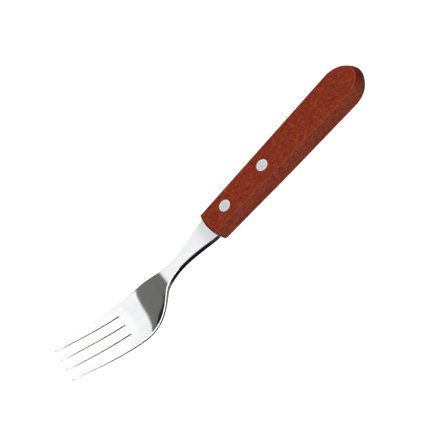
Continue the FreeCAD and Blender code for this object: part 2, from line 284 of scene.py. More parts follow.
def lathe(name, profile, y, n=96, close=True):
    """A turned solid round the vertical axis at (0, y): profile is [(radius, z)]
    from the top centre to the bottom centre."""
    bm = bmesh.new()
    rings = []
    for r, z in profile:
        if r < 1e-6:
            rings.append([bm.verts.new(P(0, y, z))])
        else:
            rings.append([bm.verts.new(P(r * math.cos(2 * math.pi * k / n), y + r * math.sin(2 * math.pi * k / n), z))
                          for k in range(n)])
    for a, b in zip(rings, rings[1:]):
        for k in range(n):
            q = (k + 1) % n
            if len(a) == 1 and len(b) == 1:
                continue
            if len(a) == 1:
                bm.faces.new((a[0], b[k], b[q]))
            elif len(b) == 1:
                bm.faces.new((a[k], b[0], a[q]))
            else:
                bm.faces.new((a[k], b[k], b[q], a[q]))
    bmesh.ops.recalc_face_normals(bm, faces=bm.faces)
    me = bpy.data.meshes.new(name)
    bm.to_mesh(me)
    bm.free()
    return bpy.data.objects.new(name, me)


# ---------------------------------------------------------------------------
# Fork blank: tines, bowl, neck and tang as one closed skin with rounded edges
# ---------------------------------------------------------------------------
def build_blank():
    bm = bmesh.new()
    top, bot = {}, {}
    loop = []                        # boundary, walked once round

    def grid_vertex(key, x, y):
        top[key] = bm.verts.new(P(x, y, top_z(x, y)))
        bot[key] = bm.verts.new(P(x, y, bottom_z(x, y)))

    def quad(a, b, c, d):
        bm.faces.new((top[a], top[b], top[c], top[d]))
        bm.faces.new((bot[d], bot[c], bot[b], bot[a]))

    def tri(a, b, c):
        bm.faces.new((top[a], top[b], top[c]))
        bm.faces.new((bot[c], bot[b], bot[a]))

    NO, NI, NS = 9, 8, 8             # columns on an outer tine, inner tine, slot
    w_root = half_width(SLOT_ROOT_Y) - edge_r(SLOT_ROOT_Y)
    r = INNER_R
    arc_r = SLOT_ROOT_R + r
    cols = []                        # (kind, x at the root, y at the root)

    def even(a, b, n):
        return [a + (b - a) * k / n for k in range(n + 1)]

    edges = []
    xs = []
    for x in even(-w_root, -SLOT_X - arc_r, NO):
        xs.append((x, SLOT_ROOT_Y, "t1"))
    for k in range(1, NS):
        t = math.pi - math.pi * k / NS
        xs.append((-SLOT_X + arc_r * math.cos(t), SLOT_ROOT_Y + arc_r * math.sin(t), "s1"))
    for x in even(-SLOT_X + arc_r, -arc_r, NI):
        xs.append((x, SLOT_ROOT_Y, "t2"))
    for k in range(1, NS):
        t = math.pi - math.pi * k / NS
        xs.append((arc_r * math.cos(t), SLOT_ROOT_Y + arc_r * math.sin(t), "s2"))
    for x in even(arc_r, SLOT_X - arc_r, NI):
        xs.append((x, SLOT_ROOT_Y, "t3"))
    for k in range(1, NS):
        t = math.pi - math.pi * k / NS
        xs.append((SLOT_X + arc_r * math.cos(t), SLOT_ROOT_Y + arc_r * math.sin(t), "s3"))
    for x in even(SLOT_X + arc_r, w_root, NO):
        xs.append((x, SLOT_ROOT_Y, "t4"))
    N = len(xs)

    # body rows from the shoulder to the slot roots
    Y0, YB = -0.55, -61.0
    rows = []
    n_body = 100
    for i in range(n_body + 1):
        rows.append(("flat", Y0 + (YB - Y0) * i / n_body))
    n_blend = 13
    for i in range(1, n_blend + 1):
        rows.append(("blend", i / n_blend))
    M = len(rows)
    for i, (kind, v) in enumerate(rows):
        yb = v if kind == "flat" else YB + (SLOT_ROOT_Y - YB) * v
        er = edge_r(yb)
        w1 = slope(half_width, yb)
        q = math.sqrt(1 + w1 * w1)
        half = half_width(yb) - er / q
        yin = yb + er * w1 / q
        for j, (x, y, _) in enumerate(xs):
            xx = x / w_root * half
            if kind == "flat":
                yy = yin
                if i <= 6:           # the shoulder follows the bow of the wood
                    fade = 1 - i / 7
                    yy += fade * max(0.0, (abs(xx) / 7.0) ** 2 * HANDLE_BOW - 0.38 * HANDLE_BOW)
            else:
                yy = YB + (y - YB) * v + (yin - yb) * (1 - v)
            grid_vertex(("b", i, j), xx, yy)
    for i in range(M - 1):
        for j in range(N - 1):
            quad(("b", i, j), ("b", i + 1, j), ("b", i + 1, j + 1), ("b", i, j + 1))

    # tines
    span = {}
    for j, (_, _, k) in enumerate(xs):
        span.setdefault(k, []).append(j)
    tine_rows = 34
    tip_r = edge_r(TINE_END_Y)

    def slot_r(y):
        t = min(max((y - TINE_END_Y) / 4.5, 0.0), 1.0)
        return tip_r + (r - tip_r) * t

    def tine(name):
        js = span[name]
        n = len(js) - 1
        f_l, f_r, r_l, r_r = {
            "t1": (lambda y: -half_width(y), lambda y: -outer_inner(y), edge_r, slot_r),
            "t2": (lambda y: -inner_outer(y), lambda y: -inner_inner(y), slot_r, slot_r),
            "t3": (inner_inner, inner_outer, slot_r, slot_r),
            "t4": (outer_inner, half_width, slot_r, edge_r),
        }[name]
        keys = [[("b", M - 1, j) for j in js]]
        for i in range(1, tine_rows + 1):
            y = SLOT_ROOT_Y + (TINE_END_Y - SLOT_ROOT_Y) * i / tine_rows
            a, b = f_l(y) + r_l(y), f_r(y) - r_r(y)
            row = []
            for k in range(n + 1):
                key = (name, i, k)
                grid_vertex(key, a + (b - a) * k / n, y)
                row.append(key)
            keys.append(row)
        # rounded tip
        a, b = f_l(TINE_END_Y), f_r(TINE_END_Y)
        cx, R = (a + b) / 2, (b - a) / 2
        ra, rb = r_l(TINE_END_Y), r_r(TINE_END_Y)
        cy = TINE_END_Y
        high = TINE_END_Y - TIP_Y
        steps = 7
        for s in range(1, steps):
            t = math.pi / 2 * s / steps
            row = []
            for k in range(n + 1):
                u = -1 + 2 * k / n
                rr = R - (ra if u < 0 else rb)
                row_x = cx + u * rr * math.cos(t)
                key = (name, "tip", s, k)
                grid_vertex(key, row_x, cy - (high - (ra + rb) / 2) * math.sin(t))
                row.append(key)
            keys.append(row)
        apex = (name, "apex")
        grid_vertex(apex, cx, cy - (high - (ra + rb) / 2))
        for A, B in zip(keys, keys[1:]):
            for k in range(n):
                quad(A[k], B[k], B[k + 1], A[k + 1])
        for k in range(n):
            tri(keys[-1][k], apex, keys[-1][k + 1])
        # boundary: down the right edge, round the tip, up the left edge
        out = []

        def edge(f, side, rf):
            for i in range(1, tine_rows + 1):
                y = SLOT_ROOT_Y + (TINE_END_Y - SLOT_ROOT_Y) * i / tine_rows
                w1 = slope(f, y)
                q = math.sqrt(1 + w1 * w1)
                yield keys[i][n if side > 0 else 0], (side / q, -side * w1 / q), rf(y)

        right = list(edge(f_r, 1, r_r))
        left = list(edge(f_l, -1, r_l))
        out += right
        for s in range(1, steps):
            t = math.pi / 2 * s / steps
            out.append((keys[tine_rows + s][n], (math.cos(t), -math.sin(t)), rb))
        out.append((apex, (0, -1), (ra + rb) / 2))
        for s in range(steps - 1, 0, -1):
            t = math.pi / 2 * s / steps
            out.append((keys[tine_rows + s][0], (-math.cos(t), -math.sin(t)), ra))
        out += left[::-1]
        return out

    tines = {k: tine(k) for k in ("t4", "t3", "t2", "t1")}

    def slot_arc(name, first, last):
        """The round end of a slot, from the right to the left."""
        cx = {"s1": -SLOT_X, "s2": 0.0, "s3": SLOT_X}[name]
        js = [first] + span[name][::-1] + [last]
        out = []
        for k, j in enumerate(js):
            t = math.pi * k / (len(js) - 1)
            out.append((("b", M - 1, j), (-math.cos(t), -math.sin(t)), r))
        return out

    def side_rows(j, sgn, idx):
        for i in idx:
            kind, v = rows[i]
            yb = v if kind == "flat" else YB + (SLOT_ROOT_Y - YB) * v
            w1 = slope(half_width, yb)
            q = math.sqrt(1 + w1 * w1)
            yield ("b", i, j), (sgn / q, -w1 / q), edge_r(yb)

    # tang: the columns between kl and kr go on into the handle
    kr = span["t4"][0]
    kl = N - 1 - kr
    tw = xs[kr][0] / w_root * (half_width(Y0) - edge_r(Y0))
    tang_keys = [[("b", 0, j) for j in range(kl, kr + 1)]]
    n_t = kr - kl
    t_rows = 24
    for i in range(1, t_rows + 1):
        y = 0.4 + (TANG_END_Y - TANG_HALF_W - 0.4) * i / t_rows
        row = []
        for k in range(n_t + 1):
            key = ("g", i, k)
            grid_vertex(key, -tw + 2 * tw * k / n_t, y)
            row.append(key)
        tang_keys.append(row)
    steps = 8
    ce, he = TANG_END_Y - TANG_HALF_W, TANG_HALF_W - 0.35
    for s in range(1, steps):
        t = math.pi / 2 * s / steps
        row = []
        for k in range(n_t + 1):
            key = ("g", "end", s, k)
            grid_vertex(key, (-tw + 2 * tw * k / n_t) * math.cos(t), ce + he * math.sin(t))
            row.append(key)
        tang_keys.append(row)
    grid_vertex(("g", "apex"), 0, ce + he)
    for A, B in zip(tang_keys, tang_keys[1:]):
        for k in range(n_t):
            quad(B[k], A[k], A[k + 1], B[k + 1])
    for k in range(n_t):
        tri(("g", "apex"), tang_keys[-1][k], tang_keys[-1][k + 1])

    # the boundary, clockwise seen from above, starting at the right shoulder
    r0 = 0.30
    loop.append((("b", 0, N - 1), (0.80, 0.80), r0))
    loop += list(side_rows(N - 1, 1, range(1, M - 1)))
    w1 = slope(half_width, SLOT_ROOT_Y)
    loop.append((("b", M - 1, N - 1), (1.0, -w1), edge_r(SLOT_ROOT_Y)))
    loop += tines["t4"]
    loop += slot_arc("s3", span["t4"][0], span["t3"][-1])
    loop += tines["t3"]
    loop += slot_arc("s2", span["t3"][0], span["t2"][-1])
    loop += tines["t2"]
    loop += slot_arc("s1", span["t2"][0], span["t1"][-1])
    loop += tines["t1"]
    loop.append((("b", M - 1, 0), (-1.0, -w1), edge_r(SLOT_ROOT_Y)))
    loop += list(side_rows(0, -1, range(M - 2, 0, -1)))
    loop.append((("b", 0, 0), (-0.80, 0.80), r0))
    for j in range(1, kl):
        loop.append((("b", 0, j), (0, 1), r0))
    loop.append((("b", 0, kl), (-0.6, 0.8), r0))
    for row in tang_keys[1:t_rows + 1]:
        loop.append((row[0], (-1, 0), r0))
    for s in range(1, steps):
        t = math.pi / 2 * s / steps
        loop.append((tang_keys[t_rows + s][0], (-math.cos(t), math.sin(t)), r0))
    loop.append((("g", "apex"), (0, 1), r0))
    for s in range(steps - 1, 0, -1):
        t = math.pi / 2 * s / steps
        loop.append((tang_keys[t_rows + s][-1], (math.cos(t), math.sin(t)), r0))
    for row in tang_keys[t_rows:0:-1]:
        loop.append((row[-1], (1, 0), r0))
    loop.append((("b", 0, kr), (0.6, 0.8), r0))
    for j in range(kr + 1, N - 1):
        loop.append((("b", 0, j), (0, 1), r0))

    # rounded rim between the upper and lower skins
    A = 6
    rings = []
    for key, n, rr in loop:
        base = top[key].co * 1000.0
        x, y = base.x, base.y - Y_SHIFT
        col = [top[key]]
        for k in range(1, A + 1):
            t = math.pi / 2 * k / A
            px, py = x + n[0] * rr * math.sin(t), y + n[1] * rr * math.sin(t)
            col.append(bm.verts.new(P(px, py, top_z(px, py) - rr * (1 - math.cos(t)))))
        for k in range(A, 0, -1):
            t = math.pi / 2 * k / A
            px, py = x + n[0] * rr * math.sin(t), y + n[1] * rr * math.sin(t)
            col.append(bm.verts.new(P(px, py, bottom_z(px, py) + rr * (1 - math.cos(t)))))
        col.append(bot[key])
        rings.append(col)
    for a, b in zip(rings, rings[1:] + rings[:1]):
        for k in range(len(a) - 1):
            bm.faces.new((a[k], a[k + 1], b[k + 1], b[k]))
    bmesh.ops.recalc_face_normals(bm, faces=bm.faces)
    me = bpy.data.meshes.new("fork_blank_body")
    bm.to_mesh(me)
    bm.free()
    ob = bpy.data.objects.new("fork_blank_body", me)
    cut(ob, [lathe("hole%d" % i, [(0, 2), (TUBE_D / 2 + 0.1, 2), (TUBE_D / 2 + 0.1, -12), (0, -12)], y, 64)
             for i, y in enumerate(RIVET_Y)])
    return ob


# ---------------------------------------------------------------------------
# Handle: flat top and underside, softened edges, gently swollen walls
# ---------------------------------------------------------------------------
TOP_R, BOT_R, CORNER_R = 0.58, 1.00, 0.22


def handle_outline(side, end, corner):
    """Points and outward normals, from the butt's apex down the right side,
    across the front end and back up the left side."""
    def hw(y):
        return HANDLE_HALF_FRONT + HANDLE_FLARE * (y - HANDLE_FRONT_Y) + side

    right = []
    a, b = hw(BUTT_CENTRE_Y), HANDLE_APEX_Y - BUTT_CENTRE_Y + end
    n_arc = 26
    for k in range(n_arc):
        t = math.pi / 2 * (1 - k / n_arc)
        nx, ny = math.cos(t) / a, math.sin(t) / b
        q = math.hypot(nx, ny)
        right.append((a * math.cos(t), BUTT_CENTRE_Y + b * math.sin(t), nx / q, ny / q))
    n_side = 56
    y_low = HANDLE_FRONT_Y + corner
    f = math.hypot(1, HANDLE_FLARE)
    for k in range(n_side + 1):
        y = BUTT_CENTRE_Y + (y_low - BUTT_CENTRE_Y) * k / n_side
        right.append((hw(y), y, 1 / f, -HANDLE_FLARE / f))
    # rounded front corner
    cx, cy = hw(y_low) - corner, y_low
    n_c = 9
    for k in range(1, n_c + 1):
        t = -math.pi / 2 * k / n_c * 0.93
        right.append((cx + corner * math.cos(t), cy + corner * math.sin(t), math.cos(t), math.sin(t)))
    x1, y1 = right[-1][0], right[-1][1]
    n_f = 20
    front = []
    for k in range(1, n_f):
        x = x1 * (1 - 2 * k / n_f)
        u = x / x1
        sl = 2 * HANDLE_BOW * u / x1
        q = math.hypot(1, sl)
        front.append((x, y1 - HANDLE_BOW * (1 - u * u), sl / q, -1 / q))
    left = [(-x, y, -nx, ny) for x, y, nx, ny in reversed(right[1:])]
    return right, front, left


def wall_profile(z):
    """Share of the swelling at a height: none at the faces, full in the middle."""
    t = min(max(-z / HANDLE_T, 0.0), 1.0)
    return math.sin(math.pi * t) ** 0.75


def butt_profile(z):
    t = min(max(-z / HANDLE_T, 0.0), 1.0)
    return math.sin(math.pi * t)


def corner_size(z):
    """The vertical corners at the front end, rounder towards the underside."""
    t = min(max(-z / 8.0, 0.0), 1.0)
    return CORNER_R + 1.95 * t * t * (3 - 2 * t)


def depth_at(z, y):
    """A level of the straight section carried to the slimmer front end."""
    return z * under_depth(y) / HANDLE_T


def build_handle():
    bm = bmesh.new()
    T = HANDLE_T
    levels = []
    A, B = 6, 9
    for k in range(A + 1):
        t = math.pi / 2 * k / A
        levels.append((-TOP_R * (1 - math.cos(t)), TOP_R * (1 - math.sin(t))))
    wall = 12
    za, zb = -TOP_R, -T + BOT_R
    for k in range(1, wall):
        levels.append((za + (zb - za) * k / wall, 0.0))
    for k in range(B + 1):
        t = math.pi / 2 * k / B
        levels.append((-T + BOT_R * (1 - math.sin(t)), BOT_R * (1 - math.cos(t))))
    rings = []
    for z, inset in levels:
        s = wall_profile(z)
        right, front, left = handle_outline(WALL_BULGE * s, BUTT_BULGE * butt_profile(z), corner_size(z))
        pts = right + front + left
        rings.append([bm.verts.new(P(x - nx * inset, y - ny * inset, depth_at(z, y))) for x, y, nx, ny in pts])
    n = len(rings[0])
    for a, b in zip(rings, rings[1:]):
        for k in range(n):
            q = (k + 1) % n
            bm.faces.new((a[k], b[k], b[q], a[q]))
    nr = len(right)
    nf = len(front)

    def fill(ring, z):
        """Rows across the flat face between the two sides."""
        R = ring[:nr]
        F = ring[nr:nr + nf]
        L = [ring[0]] + ring[nr + nf:][::-1]
        # L[k] is the mirror of R[k]
        cols = nf + 1
        prev = [R[-1]] + F + [L[-1]]           # front row, right to left
        for k in range(nr - 2, 0, -1):
            a, b = R[k], L[k]
            d = (R[k].co.y - R[-1].co.y) * 1000
            fade = max(0.0, 1 - d / 6.0) ** 2
            row = [a]
            for c in range(1, cols):
                u = c / cols
                x = (a.co.x + (b.co.x - a.co.x) * u) * 1000
                bow = -HANDLE_BOW * (1 - (2 * u - 1) ** 2) * fade
                yy = a.co.y * 1000 - Y_SHIFT
                row.append(bm.verts.new(P(x, yy + bow, depth_at(z, yy))))
            row.append(b)
            for c in range(cols):
                bm.faces.new((prev[c], prev[c + 1], row[c + 1], row[c]))
            prev = row
        for c in range(cols):
            bm.faces.new((prev[c], prev[c + 1], ring[0]))

    fill(rings[0], 0.0)
    fill(rings[-1], -T)
    bmesh.ops.recalc_face_normals(bm, faces=bm.faces)
    me = bpy.data.meshes.new("wood_handle")
    bm.to_mesh(me)
    bm.free()
    ob = bpy.data.objects.new("wood_handle", me)

    # mortise and stepped rivet holes
    cutters = []
    g = 0.06
    bm = bmesh.new()
    hw = TANG_HALF_W + g
    line = [(hw, -4.0), (hw, TANG_END_Y - TANG_HALF_W)]
    for k in range(1, 12):
        t = math.pi * k / 12
        line.append((hw * math.cos(t), TANG_END_Y - TANG_HALF_W + (TANG_HALF_W + 0.5) * math.sin(t)))
    line += [(-hw, TANG_END_Y - TANG_HALF_W), (-hw, -4.0)]
    up = [bm.verts.new(P(x, y, TANG_TOP_Z + g)) for x, y in line]
    dn = [bm.verts.new(P(x, y, TANG_TOP_Z - TANG_T - g)) for x, y in line]
    bm.faces.new(up)
    bm.faces.new(dn[::-1])
    for k in range(len(line)):
        q = (k + 1) % len(line)
        bm.faces.new((up[k], dn[k], dn[q], up[q]))
    bmesh.ops.recalc_face_normals(bm, faces=bm.faces)
    me = bpy.data.meshes.new("mortise")
    bm.to_mesh(me)
    bm.free()
    cutters.append(bpy.data.objects.new("mortise", me))
    hr, tr, hd = RIVET_HEAD_D / 2 + 0.04, TUBE_D / 2 + 0.03, RIVET_HEAD_T + 0.03
    for i, y in enumerate(RIVET_Y):
        zu = -under_depth(y) + 0.04
        cutters.append(lathe("seat%d" % i, [
            (0, 2), (hr, 2), (hr, -hd), (tr, -hd), (tr, zu + hd), (hr, zu + hd), (hr, zu - 2), (0, zu - 2)], y, 96))
    cut(ob, cutters)
    return ob


# ---------------------------------------------------------------------------
# Rivets
# ---------------------------------------------------------------------------
def head_profile(top, sgn):
    """A flat head with a softened rim, whose middle is pressed a touch lower."""
    R = RIVET_HEAD_D / 2
    pts = [(0, top - sgn * 0.030), (1.2, top - sgn * 0.030), (1.9, top - sgn * 0.027), (2.2, top - sgn * 0.018),
           (2.45, top - sgn * 0.006), (2.62, top - sgn * 0.004)]
    e = 0.26
    for k in range(0, 7):
        t = math.pi / 2 * k / 6
        pts.append((R - e + e * math.sin(t), top - sgn * (0.004 + e * 0.62 * (1 - math.cos(t)))))
    return pts


def build_pin(name, y):
    L = under_depth(y) - 2 * RIVET_HEAD_T - 0.5
    prof = head_profile(0.0, 1) + [
        (RIVET_HEAD_D / 2, -RIVET_HEAD_T + 0.08), (RIVET_HEAD_D / 2 - 0.08, -RIVET_HEAD_T),
        (PIN_D / 2 + 0.08, -RIVET_HEAD_T), (PIN_D / 2, -RIVET_HEAD_T - 0.08),
        (PIN_D / 2, -RIVET_HEAD_T - L + 0.35), (PIN_D / 2 - 0.3, -RIVET_HEAD_T - L), (0, -RIVET_HEAD_T - L)]
    return lathe(name, prof, y, 128)


def build_tube(name, y):
    z0 = -under_depth(y) + 0.04
    L = under_depth(y) - 2 * RIVET_HEAD_T - 0.10
    zt = z0 + RIVET_HEAD_T + L
    prof = [(0, z0 + RIVET_HEAD_T + 0.3), (TUBE_BORE_D / 2, z0 + RIVET_HEAD_T + 0.3), (TUBE_BORE_D / 2, zt - 0.1),
            (TUBE_BORE_D / 2 + 0.1, zt), (TUBE_D / 2 - 0.1, zt), (TUBE_D / 2, zt - 0.1),
            (TUBE_D / 2, z0 + RIVET_HEAD_T), (RIVET_HEAD_D / 2 - 0.08, z0 + RIVET_HEAD_T),
            (RIVET_HEAD_D / 2, z0 + RIVET_HEAD_T - 0.08)] + head_profile(z0, -1)[::-1]
    return lathe(name, prof, y, 128)


# ---------------------------------------------------------------------------
# Materials
# ---------------------------------------------------------------------------
class Nodes:
    def __init__(self, name):
        self.mat = bpy.data.materials.new(name)
        self.mat.use_nodes = True
        self.t = self.mat.node_tree
        self.t.nodes.clear()
        self.out = self.t.nodes.new("ShaderNodeOutputMaterial")
        self.bsdf = self.t.nodes.new("ShaderNodeBsdfPrincipled")
        self.t.links.new(self.bsdf.outputs[0], self.out.inputs[0])
        g = self.t.nodes.new("ShaderNodeTexCoord")
        self.pos = g.outputs["Object"]

    def link(self, a, b):
        self.t.links.new(a, b)

    def new(self, kind, **props):
        n = self.t.nodes.new(kind)
        for k, v in props.items():
            setattr(n, k, v)
        return n

    def put(self, sock, v):
        if hasattr(v, "is_output") or isinstance(v, bpy.types.NodeSocket):
            self.link(v, sock)
        else:
            sock.default_value = v

    def scaled(self, sx, sy, sz, vec=None, loc=(0, 0, 0), rot=(0, 0, 0)):
        m = self.new("ShaderNodeMapping")
        self.link(vec or self.pos, m.inputs["Vector"])
        m.inputs["Scale"].default_value = (sx, sy, sz)
        m.inputs["Location"].default_value = loc
        m.inputs["Rotation"].default_value = rot
        return m.outputs[0]

    def noise(self, vec, scale=1.0, detail=4.0, rough=0.55, distortion=0.0):
        n = self.new("ShaderNodeTexNoise")
        self.link(vec, n.inputs["Vector"])
        n.inputs["Scale"].default_value = scale
        n.inputs["Detail"].default_value = detail
        n.inputs["Roughness"].default_value = rough
        n.inputs["Distortion"].default_value = distortion
        return n.outputs["Fac"]

    def ramp(self, fac, stops, interp="LINEAR"):
        r = self.new("ShaderNodeValToRGB")
        r.color_ramp.interpolation = interp
        el = r.color_ramp.elements
        while len(el) > 1:
            el.remove(el[-1])
        for k, (p, c) in enumerate(stops):
            e = el[0] if k == 0 else el.new(p)
            e.position = p
            e.color = c if len(c) == 4 else (c[0], c[1], c[2], 1)
        self.link(fac, r.inputs[0])
        return r.outputs[0]

    def math(self, op, a, b=0.0, c=None, clamp=False):
        n = self.new("ShaderNodeMath", operation=op)
        n.use_clamp = clamp
        self.put(n.inputs[0], a)
        self.put(n.inputs[1], b)
        if c is not None:
            self.put(n.inputs[2], c)
        return n.outputs[0]

    def fit(self, v, a, b, c, d):
        n = self.new("ShaderNodeMapRange")
        self.put(n.inputs["Value"], v)
        for s, x in (("From Min", a), ("From Max", b), ("To Min", c), ("To Max", d)):
            n.inputs[s].default_value = x
        return n.outputs[0]

    def mix(self, fac, a, b, mode="MIX"):
        n = self.new("ShaderNodeMix", data_type="RGBA", blend_type=mode)
        self.put(n.inputs[0], fac)
        self.put(n.inputs[6], a)
        self.put(n.inputs[7], b)
        return n.outputs[2]

    def bump(self, height, strength, distance, normal=None):
        n = self.new("ShaderNodeBump")
        n.inputs["Strength"].default_value = strength
        n.inputs["Distance"].default_value = distance
        self.link(height, n.inputs["Height"])
        if normal is not None:
            self.link(normal, n.inputs["Normal"])
        return n.outputs[0]


def steel_material():
    m = Nodes("polished_stainless_steel")
    b = m.bsdf
    b.inputs["Metallic"].default_value = 1.0
    # fine lengthwise polishing lines, cloudy wear and a few stray scratches
    fine = m.noise(m.scaled(9000, 260, 9000), 1.0, 3.0, 0.6)
    broad = m.noise(m.scaled(260, 120, 260), 1.0, 3.0, 0.5)
    stray = m.noise(m.scaled(2600, 90, 2600, rot=(0, 0, 0.35)), 1.0, 2.0, 0.7)
    stray = m.fit(stray, 0.66, 0.74, 0.0, 1.0)
    col = m.mix(m.fit(broad, 0.3, 0.7, 0.0, 1.0), (0.85, 0.853, 0.85, 1), (0.90, 0.902, 0.898, 1))
    # the wheel does not reach the last millimetres before the wood, which are left rougher; the greyer, bluer colour
    # there is painted shade, standing in for the handle's shade seen in the steel
    sep = m.new("ShaderNodeSeparateXYZ")
    m.link(m.pos, sep.inputs[0])
    close = m.fit(sep.outputs[1], P(0, -9.5, 0).y, P(0, -4.0, 0).y, 0.0, 1.0)
    painted_shade_near_wood = m.fit(sep.outputs[1], P(0, -19.0, 0).y, P(0, -4.5, 0).y, 0.0, 1.0)
    # painted shade: the steel turns greyer and bluer towards the wood
    col = m.mix(m.math("MULTIPLY", painted_shade_near_wood, 0.80), col, (0.80, 0.812, 0.825, 1))
    m.link(col, b.inputs["Base Color"])
    rough = m.math("ADD", m.fit(fine, 0.3, 0.7, 0.085, 0.125), m.math("MULTIPLY", stray, 0.10))
    rough = m.math("ADD", rough, m.fit(broad, 0.35, 0.65, -0.015, 0.02))
    rough = m.math("ADD", rough, m.math("MULTIPLY", close, 0.24))
    m.link(rough, b.inputs["Roughness"])
    n1 = m.bump(fine, 0.035, 0.00004)
    n2 = m.bump(stray, 0.05, 0.00003, n1)
    m.link(n2, b.inputs["Normal"])
    return m.mat


def wood_material():
    m = Nodes("stained_hardwood")
    b = m.bsdf
    # soft mottling and short flecks in every direction, long faint figure,
    # fine grain and short dark pores along Y
    warp = m.noise(m.scaled(110, 40, 110), 1.0, 2.0, 0.5)
    mott = m.noise(m.scaled(560, 400, 560), 1.0, 3.0, 0.6, 0.4)
    fleck = m.noise(m.scaled(1500, 950, 1500, loc=(3, 7, 1)), 1.0, 2.0, 0.6, 0.3)
    tint = m.noise(m.scaled(700, 480, 700, loc=(11, 2, 5)), 1.0, 3.0, 0.6)
    grain = m.noise(m.scaled(2600, 170, 2600), 1.0, 4.0, 0.65, 0.2)
    pores = m.noise(m.scaled(5200, 520, 5200, loc=(1, 2, 3)), 1.0, 2.0, 0.6)
    pores = m.fit(pores, 0.62, 0.72, 0.0, 1.0)
    base = m.ramp(mott, [(0.35, (0.244, 0.0240, 0.0050)), (0.47, (0.327, 0.0365, 0.0067)),
                         (0.53, (0.363, 0.0450, 0.0076)), (0.65, (0.470, 0.0720, 0.0145))])
    base = m.mix(m.fit(warp, 0.35, 0.65, 0.0, 0.22), base, (0.262, 0.0280, 0.0085, 1))
    base = m.mix(m.fit(tint, 0.49, 0.62, 0.0, 0.70), base, (0.280, 0.0350, 0.0180, 1))
    base = m.mix(m.fit(fleck, 0.46, 0.62, 0.0, 0.70), base, (0.200, 0.0185, 0.0045, 1))
    base = m.mix(m.fit(grain, 0.44, 0.66, 0.0, 0.30), base, (0.185, 0.0180, 0.0065, 1))
    base = m.mix(m.math("MULTIPLY", pores, 0.40), base, (0.100, 0.0120, 0.0070, 1))
    # painted light: the side walls are tinted paler and greyer as painted sheen, the rounded edges lighter as painted
    # highlight, the butt's end wall darker as painted shade
    geo = m.new("ShaderNodeNewGeometry")
    sep = m.new("ShaderNodeSeparateXYZ")
    m.link(geo.outputs["Normal"], sep.inputs[0])
    nx = m.math("ABSOLUTE", sep.outputs[0])
    # painted sheen: walls that face sideways get a paler, greyer colour
    side = m.fit(nx, 0.45, 0.95, 0.0, 0.80)
    base = m.mix(side, base, m.mix(m.fit(m.math("ADD", fleck, mott), 0.84, 1.16, 0.0, 1.0), (0.450, 0.1020, 0.0570, 1), (0.245, 0.0450, 0.0232, 1)))
    # painted highlight: a lighter tone on the rounded top edges, stronger towards the butt
    painted_edge_highlight = m.math("MULTIPLY", m.fit(sep.outputs[2], 0.35, 0.62, 0.0, 1.0), m.fit(sep.outputs[2], 0.86, 0.995, 1.0, 0.0))
    painted_edge_highlight = m.math("MULTIPLY", painted_edge_highlight, m.fit(sep.outputs[1], -0.05, 0.40, 0.12, 0.72))
    base = m.mix(painted_edge_highlight, base, (0.420, 0.0860, 0.0440, 1))
    # painted shade: the butt's end wall is darkened, with a painted greyish sheen growing towards its lower part
    end = m.math("MULTIPLY", m.fit(sep.outputs[1], 0.20, 0.72, 0.0, 1.0), m.fit(sep.outputs[2], 0.52, 0.76, 1.0, 0.0))
    low = m.fit(sep.outputs[2], 0.30, -0.20, 0.0, 1.0)
    end_wall_shade_and_sheen = m.mix(low, (0.150, 0.0120, 0.0060, 1), (0.170, 0.0560, 0.0470, 1))
    base = m.mix(m.math("MULTIPLY", end, 0.94), base, end_wall_shade_and_sheen)
    # painted shade: faces turned down towards the table are darkened
    painted_underside_shade = m.fit(sep.outputs[2], -0.10, -0.42, 0.0, 0.85)
    base = m.mix(painted_underside_shade, base, (0.050, 0.0120, 0.0090, 1))
    m.link(base, b.inputs["Base Color"])
    rough = m.fit(mott, 0.3, 0.7, 0.50, 0.40)
    rough = m.math("ADD", rough, m.math("MULTIPLY", pores, 0.15))
    m.link(rough, b.inputs["Roughness"])
    b.inputs["Specular IOR Level"].default_value = 0.10
    h = m.math("SUBTRACT", m.math("MULTIPLY", grain, 0.6), pores)
    n1 = m.bump(h, 0.20, 0.00005)
    n2 = m.bump(fleck, 0.12, 0.00010, n1)
    m.link(n2, b.inputs["Normal"])
    return m.mat


def rivet_material(name, y):
    m = Nodes(name)
    b = m.bsdf
    b.inputs["Metallic"].default_value = 1.0
    c = P(0, y, 0)
    sep = m.new("ShaderNodeSeparateXYZ")
    m.link(m.pos, sep.inputs[0])
    dx = m.math("SUBTRACT", sep.outputs[0], c.x)
    dy = m.math("SUBTRACT", sep.outputs[1], c.y)
    rad = m.math("SQRT", m.math("ADD", m.math("MULTIPLY", dx, dx), m.math("MULTIPLY", dy, dy)))
    cloud = m.noise(m.scaled(900, 900, 900), 1.0, 3.0, 0.6)
    sand = m.noise(m.scaled(7000, 700, 7000, rot=(0, 0, 0.5)), 1.0, 3.0, 0.6)
    turn = m.noise(m.scaled(1, 1, 1), 1.0, 1.0, 0.5)
    # painted reflection: a darker, bluer centre and a lighter, warmer rim on the rivet
    painted_reflection_rim = m.fit(rad, 0.0020, 0.0026, 0.0, 1.0)
    col = m.mix(painted_reflection_rim, (0.62, 0.675, 0.70, 1), (0.82, 0.795, 0.775, 1))
    col = m.mix(m.fit(cloud, 0.3, 0.7, 0.0, 0.35), col, (0.70, 0.72, 0.725, 1))
    m.link(col, b.inputs["Base Color"])
    m.link(m.math("ADD", m.fit(sand, 0.3, 0.7, 0.26, 0.40), m.fit(cloud, 0.3, 0.7, -0.03, 0.04)), b.inputs["Roughness"])
    m.link(m.bump(sand, 0.08, 0.00004), b.inputs["Normal"])
    return m.mat


